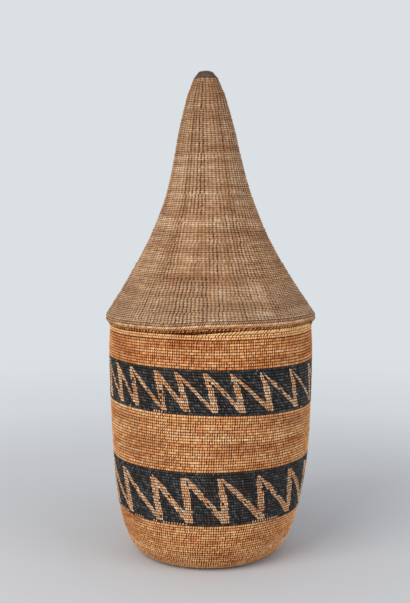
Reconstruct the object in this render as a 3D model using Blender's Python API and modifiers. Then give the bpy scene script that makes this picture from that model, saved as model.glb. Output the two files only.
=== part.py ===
"""Coiled basket with a pointed lid, in metres, +Z up, standing on z = 0 with its axis on Z.

The container is a stack of stitched courses of full wall thickness. Two of them are sewn in black,
and each carries a zigzag of natural strips laid into its outer face. The lid is a hollow cone that
ends below in an edge coil, a seat that rests on the mouth and a flange that drops into it.
"""

import math

import bmesh
import bpy

# Fits
GAP = 0.0003
FLANGE_CLEARANCE = 0.0008
INLAY_SIDE_CLEARANCE = 0.0004
INLAY_BED_CLEARANCE = 0.0005

# Container outline: the mouth, then from the floor up
MOUTH_RADIUS = 0.0714
FOOT_RADIUS = 0.0400
FOOT_FLAT = 0.0035
FOOT_ROUND = 0.0178
FOOT_LEAN = math.radians(52)
FOOT_HANDLE = 0.0241
BELLY_SWELL = 0.0006
BELLY_DROP = 0.0121
BELLY_HANDLE = 0.0545
WALL = 0.0030

# Heights of the courses, from the floor up
FOOT_HEIGHT = 0.0355
LOWER_BAND_HEIGHT = 0.0382
MIDDLE_HEIGHT = 0.0373
UPPER_BAND_HEIGHT = 0.0312
TOP_HEIGHT = 0.0178
BRAID_HEIGHT = 0.0036
BRAID_PROUD = 0.0004

# Base
BASE_EDGE_LENGTH = 0.0105
BASE_RISE = 0.0006
BASE_DOME = 0.0008
START_RADIUS = 0.0045
START_PROUD = 0.0004
START_CORNER = 0.0008

# Zigzags: strokes as wide as they measure along a row, the thick one steep and the thin one slanting
INLAY_DEPTH = 0.0012
INLAY_PROUD = 0.0001
UPPER_ZIG_COUNT = 22
UPPER_ZIG_THICK = 0.0036
UPPER_ZIG_THIN = 0.0031
UPPER_ZIG_LEAN = 0.0070
UPPER_ZIG_TURN = math.radians(-3)
UPPER_ZIG_MARGIN = 0.0026
LOWER_ZIG_COUNT = 17
LOWER_ZIG_THICK = 0.0043
LOWER_ZIG_THIN = 0.0040
LOWER_ZIG_LEAN = 0.0053
LOWER_ZIG_TURN = math.radians(5)
LOWER_ZIG_MARGIN = 0.0030
TIP_OVERLAP = 0.6

# Lid edge, seat and flange
LID_OVERHANG = 0.0024
EDGE_COIL_RADIUS = 0.0016
SEAT_THICKNESS = 0.0020
SEAT_LEAN = math.radians(40)
SEAT_CORNER = 0.0004
FLANGE_DEPTH = 0.0090
FLANGE_WALL = 0.0026
FLANGE_CORNER = 0.0006

# Lid outline: outer radii, and the rise from each to the next, from the edge to the tip
SKIRT_RADIUS = 0.0578
HIP_RADIUS = 0.0439
WAIST_RADIUS = 0.0321
SPIRE_RADIUS = 0.0251
NECK_RADIUS = 0.0197
BROW_RADIUS = 0.0139
CAP_RADIUS = 0.0089
SKIRT_RISE = 0.0251
HIP_RISE = 0.0256
WAIST_RISE = 0.0297
SPIRE_RISE = 0.0240
NECK_RISE = 0.0235
BROW_RISE = 0.0220
CAP_RISE = 0.0133
CAP_HEIGHT = 0.0066
CAP_FLAT = 0.0047
CAP_DOME = 0.0006
CAP_CORNER = 0.0005
SPIGOT_DEPTH = 0.0025

# Facets
RING_SEGMENTS = 40
SMALL_SEGMENTS = 24
EDGE_ROWS = 3
ROUNDING_ROWS = 5
COURSE_ROWS = 2
CONE_ROWS = 13
CURVE_STEPS = 60
COIL_SIDES = 8
ZIG_ROWS = 2
SHARP_ANGLE = math.radians(38)
MERGE = 0.00001
NO_LENGTH = 1e-9
KEY_STEPS = 1000000

SEAM_HEIGHTS = [FOOT_HEIGHT]
for course_height in (LOWER_BAND_HEIGHT, MIDDLE_HEIGHT, UPPER_BAND_HEIGHT, TOP_HEIGHT):
    SEAM_HEIGHTS.append(SEAM_HEIGHTS[-1] + course_height)
WALL_TOP = SEAM_HEIGHTS[-1]
SEAT_HEIGHT = WALL_TOP + BRAID_HEIGHT + GAP
BRAID_RADIUS = MOUTH_RADIUS - WALL / 2
BRAID_WIDTH = WALL + 2 * BRAID_PROUD
FLANGE_RADIUS = BRAID_RADIUS - BRAID_WIDTH / 2 - FLANGE_CLEARANCE
LID_EDGE_RADIUS = MOUTH_RADIUS + LID_OVERHANG


def bezier(start, leave, arrive, end, steps):
    """Points of a cubic curve, with its start and without its end."""
    points = []
    for step in range(steps):
        t = step / steps
        s = 1 - t
        weights = (s ** 3, 3 * s * s * t, 3 * s * t * t, t ** 3)
        points.append(tuple(
            sum(w * p[i] for w, p in zip(weights, (start, leave, arrive, end))) for i in (0, 1)
        ))
    return points


def container_outline():
    """Outer side as (radius, height), from the inner edge of the flat foot to the wall's top."""
    points = [(FOOT_RADIUS - FOOT_FLAT, 0.0)]
    for step in range(CURVE_STEPS):
        turn = FOOT_LEAN * step / CURVE_STEPS
        points.append((FOOT_RADIUS + FOOT_ROUND * math.sin(turn), FOOT_ROUND * (1 - math.cos(turn))))
    leave = (math.cos(FOOT_LEAN), math.sin(FOOT_LEAN))
    start = (FOOT_RADIUS + FOOT_ROUND * leave[1], FOOT_ROUND * (1 - leave[0]))
    belly = (MOUTH_RADIUS + BELLY_SWELL, WALL_TOP - BELLY_DROP)
    mouth = (MOUTH_RADIUS, WALL_TOP)
    points += bezier(
        start,
        (start[0] + FOOT_HANDLE * leave[0], start[1] + FOOT_HANDLE * leave[1]),
        (belly[0], belly[1] - BELLY_HANDLE),
        belly,
        CURVE_STEPS,
    )
    points += bezier(belly, (belly[0], belly[1] + BELLY_DROP / 2), mouth, mouth, CURVE_STEPS)
    points.append(mouth)
    return points


def lid_outline():
    """Outer side of the cone as (radius, height over its edge), a smooth curve through the named radii."""
    radii = [LID_EDGE_RADIUS, SKIRT_RADIUS, HIP_RADIUS, WAIST_RADIUS, SPIRE_RADIUS]
    radii += [NECK_RADIUS, BROW_RADIUS, CAP_RADIUS]
    heights = [0.0]
    for rise in (SKIRT_RISE, HIP_RISE, WAIST_RISE, SPIRE_RISE, NECK_RISE, BROW_RISE, CAP_RISE):
        heights.append(heights[-1] + rise)
    last = len(radii) - 1
    slopes = []
    for i in range(len(radii)):
        below = max(i - 1, 0)
        above = min(i + 1, last)
        slopes.append((radii[above] - radii[below]) / (heights[above] - heights[below]))
    points = []
    for i in range(last):
        third = (heights[i + 1] - heights[i]) / 3
        points += bezier(
            (radii[i], heights[i]),
            (radii[i] + slopes[i] * third, heights[i] + third),
            (radii[i + 1] - slopes[i + 1] * third, heights[i + 1] - third),
            (radii[i + 1], heights[i + 1]),
            CURVE_STEPS,
        )
    points.append((radii[last], heights[last]))
    return points


def total_length(outline):
    return sum(math.dist(a, b) for a, b in zip(outline, outline[1:]))


def length_at_height(outline, height):
    """Length along the outline at which it passes this height."""
    length = 0.0
    for a, b in zip(outline, outline[1:]):
        if b[1] > height:
            return length + math.dist(a, b) * (height - a[1]) / (b[1] - a[1])
        length += math.dist(a, b)
    return length


def radius_at_height(outline, height):
    for a, b in zip(outline, outline[1:]):
        if b[1] >= height > a[1]:
            return a[0] + (b[0] - a[0]) * (height - a[1]) / (b[1] - a[1])
    return outline[-1][0]


def station(outline, length):
    """Point at this length along the outline, and the unit normal that points out of the wall there."""
    for a, b in zip(outline, outline[1:]):
        step = math.dist(a, b)
        if length <= step + NO_LENGTH:
            break
        length -= step
    share = min(length / step, 1.0)
    point = (a[0] + (b[0] - a[0]) * share, a[1] + (b[1] - a[1]) * share)
    return point, ((b[1] - a[1]) / step, (a[0] - b[0]) / step)


def wall_section(outline, start, end, rows):
    """Closed section of the wall between two lengths: down its outer side, then up its inner side."""
    outer = []
    inner = []
    for row in range(rows + 1):
        point, normal = station(outline, end + (start - end) * row / rows)
        outer.append(point)
        inner.append((point[0] - WALL * normal[0], point[1] - WALL * normal[1]))
    return outer + inner[::-1]


def round_section(radius, height, half_width, half_height):
    """Closed oval section round a coil's centre, down its outer side first."""
    section = []
    for side in range(COIL_SIDES):
        turn = math.pi / 2 - 2 * math.pi * side / COIL_SIDES
        section.append((radius + half_width * math.cos(turn), height + half_height * math.sin(turn)))
    return section


def box_section(inner, outer, bottom, top, corner):
    """Closed section with its four corners cut off at 45 degrees."""
    return [
        (outer - corner, top), (outer, top - corner), (outer, bottom + corner), (outer - corner, bottom),
        (inner + corner, bottom), (inner, bottom + corner), (inner, top - corner), (inner + corner, top),
    ]


def material(name, colour, roughness):
    made = bpy.data.materials.new(name)
    made.use_nodes = True
    shader = made.node_tree.nodes["Principled BSDF"]
    shader.inputs["Base Color"].default_value = (*colour, 1)
    shader.inputs["Roughness"].default_value = roughness
    shader.inputs["Metallic"].default_value = 0
    made.diffuse_color = (*colour, 1)
    return made


def place(name, mesh, collection, parent, look):
    piece = bpy.data.objects.new(name, mesh)
    collection.objects.link(piece)
    piece.parent = parent
    mesh.materials.append(look)
    return piece


def settle(piece):
    """Gives the piece the mesh that its modifiers make, shaded smooth but for its sharp edges."""
    graph = bpy.context.evaluated_depsgraph_get()
    mesh = bpy.data.meshes.new_from_object(piece.evaluated_get(graph))
    piece.modifiers.clear()
    piece.data = mesh
    mesh.name = piece.name
    mesh.shade_smooth()
    mesh.set_sharp_from_angle(angle=SHARP_ANGLE)


def turned(name, section, collection, parent, look, segments=RING_SEGMENTS):
    """A piece turned about Z. A section that starts and ends on the axis stays open there."""
    mesh = bpy.data.meshes.new(name)
    points = [(radius, 0, height) for radius, height in section]
    edges = [(i, i + 1) for i in range(len(points) - 1)]
    if section[0][0] > 0:
        edges.append((len(points) - 1, 0))
    mesh.from_pydata(points, edges, [])
    piece = place(name, mesh, collection, parent, look)
    screw = piece.modifiers.new("Turn", "SCREW")
    screw.axis = "Z"
    screw.steps = segments
    screw.render_steps = segments
    screw.use_merge_vertices = True
    screw.merge_threshold = MERGE
    return piece


def zigzag_sheet(name, outline, zigzag, bottom, top, widen, proud):
    """Zigzag ribbon as a sheet on the container's outer side, with level ends to all its strokes.

    The thick stroke of a period leans to the right on its way down. The thin stroke leaves the same top
    and slants down to the foot of the next thick one. A share counts the height from the top down.
    """
    count, thick, thin, lean, turned_by = zigzag
    middle_radius = radius_at_height(outline, (bottom + top) / 2)
    pitch = 2 * math.pi * middle_radius / count
    height = top - bottom
    offset = thick * TIP_OVERLAP
    thick += 2 * widen
    thin += 2 * widen
    part = (thick - offset) / pitch
    meet = 1 - (offset + thin) / pitch
    merge = 1 - offset / pitch
    rows = [-widen / height, part]
    rows += [part + (meet - part) * row / ZIG_ROWS for row in range(1, ZIG_ROWS)]
    rows += [meet, merge, 1 + widen / height]
    sheet = bmesh.new()
    found = {}

    def corner(along, share):
        """Vertex at this arc length and share of the height, shared by the periods that meet there."""
        turn = (along / middle_radius + turned_by) / (2 * math.pi) % 1
        key = (round(turn * KEY_STEPS) % KEY_STEPS, round(share * KEY_STEPS))
        if key not in found:
            level = top - height * share
            radius = radius_at_height(outline, level) + proud
            angle = turn * 2 * math.pi
            found[key] = sheet.verts.new((radius * math.sin(angle), -radius * math.cos(angle), level))
        return found[key]

    def stroke(left_edge, right_edge, upper, lower, notch=()):
        """Face between two slanting edges, with a notch's vertex on its upper or lower side."""
        corners = [corner(left_edge(upper), upper), corner(left_edge(lower), lower)]
        corners += [corner(notch[0], lower)] if notch and notch[1] == lower else []
        corners += [corner(right_edge(lower), lower), corner(right_edge(upper), upper)]
        corners += [corner(notch[0], upper)] if notch and notch[1] == upper else []
        sheet.faces.new(corners)

    for period in range(count):
        left = period * pitch - widen

        def thick_left(share):
            return left + lean * share

        def thick_right(share):
            return left + lean * share + thick

        def thin_left(share):
            return left + (pitch + lean) * share + offset

        def thin_right(share):
            return left + (pitch + lean) * share + offset + thin

        def last_thin_left(share):
            return thin_left(share) - pitch

        for upper, lower in zip(rows, rows[1:]):
            if lower <= part:
                stroke(thick_left, thin_right, upper, lower, (thick_right(part), part))
            elif lower <= meet:
                stroke(thick_left, thick_right, upper, lower)
                stroke(thin_left, thin_right, upper, lower)
            elif lower <= merge:
                stroke(last_thin_left, thick_right, upper, lower, (thick_left(meet), meet))
            else:
                stroke(thick_left, thick_right, upper, lower)
    mesh = bpy.data.meshes.new(name)
    sheet.to_mesh(mesh)
    sheet.free()
    return mesh


def thicken(piece, thickness):
    """Gives the sheet its depth towards the axis."""
    solid = piece.modifiers.new("Depth", "SOLIDIFY")
    solid.thickness = thickness
    solid.offset = -1
    solid.use_even_offset = True


def black_band(name, zigzag_name, outline, bottom, top, zigzag_sizes, collections, parent, looks):
    """A black course with the groove of its zigzag, and the natural zigzag that lies in it."""
    *zigzag, margin = zigzag_sizes
    parts, cutters = collections
    black, natural = looks
    start = length_at_height(outline, bottom) + GAP / 2
    end = length_at_height(outline, top) - GAP / 2
    section = wall_section(outline, start, end, ZIG_ROWS + 1)
    band = turned(name, section, parts, parent, black)
    sheet = (outline, zigzag, bottom + margin, top - margin)
    cutter_mesh = zigzag_sheet(name + "_groove", *sheet, INLAY_SIDE_CLEARANCE, WALL / 2)
    cutter = place(name + "_groove", cutter_mesh, cutters, parent, black)
    cutter.hide_render = True
    cutter.display_type = "WIRE"
    thicken(cutter, WALL / 2 + INLAY_DEPTH + INLAY_BED_CLEARANCE)
    groove = band.modifiers.new("Groove", "BOOLEAN")
    groove.operation = "DIFFERENCE"
    groove.solver = "EXACT"
    groove.object = cutter
    inlay = place(zigzag_name, zigzag_sheet(zigzag_name, *sheet, 0.0, INLAY_PROUD), parts, parent, natural)
    thicken(inlay, INLAY_DEPTH + INLAY_PROUD)
    return band, inlay


def plain_course(name, outline, bottom_length, top_length, rows, parts, parent, look):
    return turned(name, wall_section(outline, bottom_length, top_length, rows), parts, parent, look)


def base_disc(parts, parent, look):
    """Flat spiral floor, a little domed so that the basket stands on its edge."""
    outer = FOOT_RADIUS - FOOT_FLAT - GAP
    inner = START_RADIUS + GAP
    low = BASE_RISE
    high = BASE_RISE + BASE_DOME
    section = [(outer, low + WALL), (outer, low), (inner, high), (inner, high + WALL)]
    return turned("base_disc", section, parts, parent, look)


def base_start_coil(parts, parent, look):
    """First tight turn of the coil, a button in the middle of the floor."""
    bottom = BASE_RISE + BASE_DOME - START_PROUD
    top = BASE_RISE + BASE_DOME + WALL + START_PROUD
    section = [
        (0, top), (START_RADIUS - START_CORNER, top), (START_RADIUS, top - START_CORNER),
        (START_RADIUS, bottom + START_CORNER), (START_RADIUS - START_CORNER, bottom), (0, bottom),
    ]
    return turned("base_start_coil", section, parts, parent, look, SMALL_SEGMENTS)


def rim_braid(parts, parent, look):
    """Braided strip that closes the mouth's edge."""
    half = (BRAID_HEIGHT - GAP) / 2
    middle = WALL_TOP + BRAID_HEIGHT - half
    section = round_section(BRAID_RADIUS, middle, BRAID_WIDTH / 2, half)
    return turned("rim_braid", section, parts, parent, look)


def lid_ring(name, inner, outer, bottom, top, corner, parts, parent, look):
    return turned(name, box_section(inner, outer, bottom, top, corner), parts, parent, look)


def tip_cap(base_height, parts, parent, look):
    """Dark bound tip, with the spigot by which it closes the top of the cone."""
    bottom = base_height + GAP
    spigot = CAP_RADIUS - WALL - GAP
    top = base_height + CAP_HEIGHT
    flat = min(CAP_FLAT, CAP_RADIUS - CAP_CORNER)
    section = [
        (0, top), (flat, top - CAP_DOME), (flat + CAP_CORNER, top - CAP_DOME - CAP_CORNER),
        (CAP_RADIUS, bottom + CAP_CORNER), (CAP_RADIUS, bottom),
        (spigot, bottom), (spigot, bottom - SPIGOT_DEPTH), (0, bottom - SPIGOT_DEPTH),
    ]
    return turned("tip_cap", section, parts, parent, look, SMALL_SEGMENTS)


def container(parts, cutters, looks):
    """The basket below the lid."""
    parent = bpy.data.objects.new("container", None)
    parts.objects.link(parent)
    outline = container_outline()
    natural, black, pale = looks["natural"], looks["black"], looks["pale"]
    foot, band_top, middle_top, upper_top, wall_top = SEAM_HEIGHTS
    base_start_coil(parts, parent, pale)
    base_disc(parts, parent, natural)
    edge_end = BASE_EDGE_LENGTH - GAP
    foot_end = length_at_height(outline, foot) - GAP / 2
    plain_course("base_edge_coil", outline, 0.0, edge_end, EDGE_ROWS, parts, parent, pale)
    plain_course("foot_course", outline, BASE_EDGE_LENGTH, foot_end, ROUNDING_ROWS, parts, parent, natural)
    lower = (LOWER_ZIG_COUNT, LOWER_ZIG_THICK, LOWER_ZIG_THIN, LOWER_ZIG_LEAN, LOWER_ZIG_TURN)
    upper = (UPPER_ZIG_COUNT, UPPER_ZIG_THICK, UPPER_ZIG_THIN, UPPER_ZIG_LEAN, UPPER_ZIG_TURN)
    for name, zigzag_name, bottom, top, sizes in (
        ("lower_black_band", "lower_zigzag", foot, band_top, (*lower, LOWER_ZIG_MARGIN)),
        ("upper_black_band", "upper_zigzag", middle_top, upper_top, (*upper, UPPER_ZIG_MARGIN)),
    ):
        collections = (parts, cutters)
        black_band(name, zigzag_name, outline, bottom, top, sizes, collections, parent, (black, natural))
    for name, bottom, top in (
        ("middle_course", band_top, middle_top),
        ("top_course", upper_top, wall_top),
    ):
        start = length_at_height(outline, bottom) + GAP / 2
        end = length_at_height(outline, top)
        if top < wall_top:
            end -= GAP / 2
        plain_course(name, outline, start, end, COURSE_ROWS, parts, parent, natural)
    rim_braid(parts, parent, pale)
    return parent


def lid(parts, looks):
    """The lid, in its own frame: its empty stands on the axis at the height where the lid rests.

    The edge coil leans on the seat's shoulder, and the cone stands square on the edge coil.
    """
    parent = bpy.data.objects.new("lid", None)
    parts.objects.link(parent)
    parent.location.z = SEAT_HEIGHT
    inner = FLANGE_RADIUS - FLANGE_WALL
    coil_middle = LID_EDGE_RADIUS - EDGE_COIL_RADIUS
    reach = EDGE_COIL_RADIUS + GAP
    shoulder = coil_middle - reach * math.sin(SEAT_LEAN)
    coil_height = SEAT_THICKNESS + reach * math.cos(SEAT_LEAN)
    flange = (inner, FLANGE_RADIUS, -FLANGE_DEPTH, -GAP, FLANGE_CORNER)
    seat = (inner, shoulder + SEAT_CORNER, 0.0, SEAT_THICKNESS, SEAT_CORNER)
    lid_ring("lid_flange", *flange, parts, parent, looks["natural"])
    lid_ring("lid_seat_coil", *seat, parts, parent, looks["russet"])
    coil = round_section(coil_middle, coil_height, EDGE_COIL_RADIUS, EDGE_COIL_RADIUS)
    turned("lid_edge_coil", coil, parts, parent, looks["natural"])
    outline = lid_outline()
    normal = station(outline, 0.0)[1]
    over_coil = (reach + EDGE_COIL_RADIUS * normal[1]) / normal[0]
    edge_height = coil_height + over_coil
    raised = [(radius, height + edge_height) for radius, height in outline]
    section = wall_section(raised, 0.0, total_length(raised), CONE_ROWS)
    turned("lid_cone", section, parts, parent, looks["dusty"])
    tip_cap(raised[-1][1], parts, parent, looks["dark"])
    return parent


def main():
    for old in list(bpy.data.objects):
        bpy.data.objects.remove(old, do_unlink=True)
    scene = bpy.context.scene.collection
    parts = bpy.data.collections.new("agaseke_basket")
    cutters = bpy.data.collections.new("cutters")
    scene.children.link(parts)
    scene.children.link(cutters)
    looks = {
        "natural": material("natural_strip", (0.47, 0.21, 0.085), 0.62),
        "black": material("black_strip", (0.016, 0.019, 0.022), 0.50),
        "pale": material("pale_strip", (0.58, 0.34, 0.15), 0.60),
        "russet": material("russet_strip", (0.30, 0.11, 0.045), 0.65),
        "dusty": material("dusty_strip", (0.31, 0.19, 0.12), 0.78),
        "dark": material("dark_binding", (0.085, 0.055, 0.040), 0.80),
    }
    container(parts, cutters, looks)
    lid(parts, looks)
    bpy.context.view_layer.update()
    for piece in parts.objects:
        if piece.type == "MESH":
            settle(piece)


main()
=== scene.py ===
import math

import bpy
import numpy as np
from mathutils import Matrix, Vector


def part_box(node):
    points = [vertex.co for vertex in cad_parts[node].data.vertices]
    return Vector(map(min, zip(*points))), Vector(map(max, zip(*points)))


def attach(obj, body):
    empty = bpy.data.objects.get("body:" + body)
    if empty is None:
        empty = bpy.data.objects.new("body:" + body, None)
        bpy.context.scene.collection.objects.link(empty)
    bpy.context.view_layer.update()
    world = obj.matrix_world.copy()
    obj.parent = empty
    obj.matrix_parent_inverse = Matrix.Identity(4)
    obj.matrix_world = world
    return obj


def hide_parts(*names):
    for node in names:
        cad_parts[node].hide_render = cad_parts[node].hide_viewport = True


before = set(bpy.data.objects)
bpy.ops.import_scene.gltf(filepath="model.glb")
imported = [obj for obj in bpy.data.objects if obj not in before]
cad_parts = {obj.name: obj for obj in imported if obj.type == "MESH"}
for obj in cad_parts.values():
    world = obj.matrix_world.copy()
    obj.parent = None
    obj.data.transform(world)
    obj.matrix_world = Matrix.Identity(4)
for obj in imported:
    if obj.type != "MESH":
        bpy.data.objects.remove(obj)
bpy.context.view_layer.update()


# The middle of the floor, where the coil starts: a hard little button of grass, wound on itself.
# Strips of pale leaf fan out from its centre and bind the first two turns together.
BUTTON_PITCH = 0.00195
BUTTON_LEAN = 0.5
# Radius and number of strips of each turn, the outer one first
BUTTON_TURNS = ((0.0036, 24), (0.0017, 12))
# The button's heart: its radius, and its height as a share of the solid's
BUTTON_HEART = 0.0010
HEART_HEIGHT = 0.95

# The basket isn't quite upright: the sideways shift of its axis, in metres, at some heights.
AXIS_HEIGHTS = (0.0, 0.028, 0.073, 0.127, 0.160, 0.205, 0.251, 0.279, 0.312, 0.341)
AXIS_SHIFTS = (-0.0011, -0.0006, 0.0008, 0.0013, 0.0008, 0.0, -0.0004, -0.0011, -0.0019, -0.0027)
# Its mouth and the lid's edge aren't level: they stand this much higher at this angle right of the
# front, and as much lower at the back.
TILT = 0.0005
TILT_SIDE = math.radians(12)
TILT_HEIGHTS = (0.140, 0.160, 0.172, 0.200)
TILT_SHARES = (0.0, 1.0, 1.0, 0.0)
# The rows of the wall aren't quite level: how much lower they lie at the right than in front, and
# higher at the left.
SKEW_HEIGHTS = (0.020, 0.036, 0.073, 0.111, 0.141, 0.160)
SKEWS = (0.0, 0.0003, 0.0, 0.0016, 0.0007, 0.0)
# Work by hand is uneven, in waves: the height of a wave in metres, how many go round the basket, how
# far they turn in a metre of height, and where they start. Swells go in and out, and are smaller
# within this radius. Sags go up and down, and are smaller below this level.
SWELLS = ((0.00020, 3, 40, 0), (0.00014, 5, -70, 1))
SAGS = ((0.00016, 2, 25, 2), (0.00010, 7, 60, 0))
SWELL_RADIUS = 0.03
SAG_LEVEL = 0.02


def waves(kinds, angle, level):
    """Sum of waves that run round the basket."""
    return sum(tall * np.sin(number * angle + turn * level + start)
               for tall, number, turn, start in kinds)


def shaped(radius, angle, level):
    """Places of a turned surface, with the small unevenness of a wall that is sewn by hand."""
    swell = np.clip(radius / SWELL_RADIUS, 0, 1) * waves(SWELLS, angle, level)
    sag = waves(SAGS, angle, level) * np.clip(level / SAG_LEVEL, 0, 1)
    raised = TILT * np.interp(level, TILT_HEIGHTS, TILT_SHARES) * -np.sin(angle - TILT_SIDE)
    raised = raised - np.interp(level, SKEW_HEIGHTS, SKEWS) * np.cos(angle)
    shift = np.interp(level, AXIS_HEIGHTS, AXIS_SHIFTS)
    x = (radius + swell) * np.cos(angle) + shift
    y = (radius + swell) * np.sin(angle)
    z = level + sag + raised
    return np.stack(np.broadcast_arrays(x, y, z), axis=-1)


def even_borders(count, slide, lean):
    """Angles where a row's strips begin, all of one width, and how far each leans over the row.

    The slide and the lean are counted in strips.
    """
    angles = (np.arange(count + 1) + slide) / count * 2 * math.pi - math.pi / 2
    return angles, np.full(count + 1, lean / count * 2 * math.pi)


# A strip across its width: where its vertices are, as shares, and how far each is down in the gap
STRIP_STOPS = (0.0, 0.34, 0.66)
STRIP_GAPS = (1.0, 0.0, 0.0)
# A wall coil's section: share of the pitch along the wall, depth below the crown in metres, share of
# the way down into the groove, which sets its painted shade, how deep the gap between two strips is
# cut, and the share of the row's height by which a strip's lean counts. The last two points are on the
# wall's inside.
WALL = 0.0030
WALL_COIL = (
    (-0.53, 0.00060, 1.0, 0.35, -0.5),
    (-0.18, 0.00004, 0.0, 1.0, -0.18),
    (0.18, 0.00004, 0.0, 1.0, 0.18),
    (0.53, 0.00060, 1.0, 0.35, 0.5),
    (0.34, WALL, 0.3, -0.6, 0.5),
    (-0.34, WALL, 0.3, -0.6, -0.5),
)
GAP_DEPTH = 0.00036
# How open the gaps between strips are, where they vary freely or are given, and how much painted shade
# the grooves get, where 1 is the usual
OPENNESS = (0.35, 1.35)
STEADY = (0.75, 1.25)
GROOVES = (0.70, 1.20)
# How much painted shade darkens the bottom of a gap and of a groove
GAP_SHADE = 0.96
GROOVE_SHADE = 0.77
# How far a border between two strips is off, in strips, and how far a strip stands out, in metres
BORDER_WOBBLE = 0.06
STRIP_PUSH = 0.00004
# Strips are cut from leaf after leaf, so tones come in runs of this many strips.
RUN_LENGTHS = (6, 30)
# Shares of a strip's tone that go by its run, by the strip itself and by its row
TONE_SHARES = (0.20, 0.52, 0.28)
# Where the tones are given, the strip's own share is smaller by this factor.
GIVEN_SHARE = 0.7


def write(piece, name, values):
    """Stores a number for each vertex of the piece, which its material reads."""
    attribute = piece.data.attributes.new(name, "FLOAT", "POINT")
    attribute.data.foreach_set("value", np.ascontiguousarray(values, np.float32).reshape(-1))


def sewn_ring(point, normal, pitch, section, borders, random, gap_depth=GAP_DEPTH, tones=None,
              shape=shaped, gaps=None, lift=0.0):
    """One coil round the axis, sewn over with strips: a sheet, bent round into a ring.

    The point is on the coil's crown, as a radius and a level, and the normal points out of the wall.
    The sheet's columns go round the axis and its rows round the section. Its ends meet, and joined()
    welds them. A section may have one value for each column instead of one for all. The tones and the
    openness of the gaps may be given, and the lift makes all the strips lighter.
    """
    bpy.ops.object.select_all(action="DESELECT")
    starts, leans = borders
    count = len(starts) - 1
    around = count * len(STRIP_STOPS)
    # The sheet's own size doesn't count, because each of its vertices gets another place.
    bpy.ops.mesh.primitive_grid_add(x_subdivisions=around, y_subdivisions=len(section), size=1)
    ring = bpy.context.object
    profile = np.array([*section, section[0]], float)
    along, depth, groove, cut, run = np.moveaxis(profile.reshape(*profile.shape[:2], -1), 1, 0)
    # For each column: its strip, its place across that strip, and how far down it is in the gap
    strip = np.append(np.repeat(np.arange(count), len(STRIP_STOPS)), count - 1)
    across = np.append(np.tile(STRIP_STOPS, count), 1.0)
    gap = np.append(np.tile(STRIP_GAPS, count), STRIP_GAPS[0])
    if gaps is None:
        opening = random.uniform(*OPENNESS, count)
    else:
        opening = gaps * random.uniform(*STEADY, count)
    gap = gap * opening[np.append(strip[:-1], 0)]
    groove = groove * random.uniform(*GROOVES, count)[strip]
    wobble = random.normal(0, BORDER_WOBBLE, count + 1) * 2 * math.pi / count
    wobble[-1] = wobble[0]
    starts = starts + wobble
    begin = starts[strip] + leans[strip] * run
    end = starts[strip + 1] + leans[strip + 1] * run
    angle = begin + (end - begin) * across
    # A strip stands out only on the coil's crown, between its two gaps.
    push = random.normal(0, STRIP_PUSH, count)
    deep = depth + gap_depth * gap * cut - push[strip] * (gap == 0) * (cut == 1)
    radius = point[0] - normal[0] * deep - normal[1] * along * pitch
    level = point[1] - normal[1] * deep + normal[0] * along * pitch
    ring.data.vertices.foreach_set("co", shape(radius, angle, level).reshape(-1).astype(np.float32))
    by_run, by_strip, by_row = TONE_SHARES
    runs = np.repeat(random.random(count), random.integers(*RUN_LENGTHS, count))[:count]
    tone = by_run * np.roll(runs, random.integers(count)) + by_strip * random.random(count)
    tone = tone + by_row * random.random()
    if tones is not None:
        tone = tones + by_strip * GIVEN_SHARE * (random.random(count) - 0.5)
    # The crown is 1 on the open strip and less in gaps and grooves; the materials paint shade there
    # from it.
    crown = (1 - GROOVE_SHADE * groove) * (1 - GAP_SHADE * gap)
    write(ring, "crown", crown)
    write(ring, "tone", np.broadcast_to(tone[strip] + lift, crown.shape))
    return ring


# The heart of a wound coil is a plain ball, nearly hidden: its faces, its light and its tone
HEART_SIDES = 12
HEART_RINGS = 8
HEART_CROWN = 0.8
HEART_TONE = 0.4


def heart(radius, flat, place):
    """The ball in the middle of a wound coil, flattened to this share of its height."""
    bpy.ops.object.select_all(action="DESELECT")
    bpy.ops.mesh.primitive_uv_sphere_add(segments=HEART_SIDES, ring_count=HEART_RINGS, radius=radius)
    ball = bpy.context.object
    ball.scale.z = flat
    ball.location = place
    bpy.ops.object.transform_apply(location=True, rotation=True, scale=True)
    write(ball, "crown", np.full(len(ball.data.vertices), HEART_CROWN))
    write(ball, "tone", np.full(len(ball.data.vertices), HEART_TONE))
    return ball


# Vertices nearer than this, in metres, are one: those where the two ends of a ring meet.
WELD = 0.0000002


def joined(name, rings):
    """The rings as one piece, shaded smooth."""
    bpy.ops.object.select_all(action="DESELECT")
    for ring in rings:
        ring.select_set(True)
    bpy.context.view_layer.objects.active = rings[0]
    if len(rings) > 1:
        bpy.ops.object.join()
    bpy.ops.object.transform_apply(location=True, rotation=True, scale=True)
    bpy.ops.object.mode_set(mode="EDIT")
    bpy.ops.mesh.select_all(action="SELECT")
    bpy.ops.mesh.remove_doubles(threshold=WELD)
    bpy.ops.mesh.select_all(action="DESELECT")
    bpy.ops.object.mode_set(mode="OBJECT")
    bpy.ops.object.shade_smooth()
    piece = bpy.context.object
    piece.name = name
    piece.data.name = name
    return piece


def linear(code):
    """Linear colour of an sRGB hex code."""
    shares = [int(code[i:i + 2], 16) / 255 for i in (1, 3, 5)]
    return (*[s / 12.92 if s <= 0.04045 else ((s + 0.055) / 1.055) ** 2.4 for s in shares], 1)


def add(tree, kind, links=(), **settings):
    """Adds a node, sets its properties and inputs, and links sockets of other nodes to its inputs."""
    node = tree.nodes.new(kind)
    for name, value in settings.items():
        if hasattr(node, name):
            setattr(node, name, value)
        else:
            node.inputs[name].default_value = value
    for name, socket in links:
        tree.links.new(socket, node.inputs[name])
    return node


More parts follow.
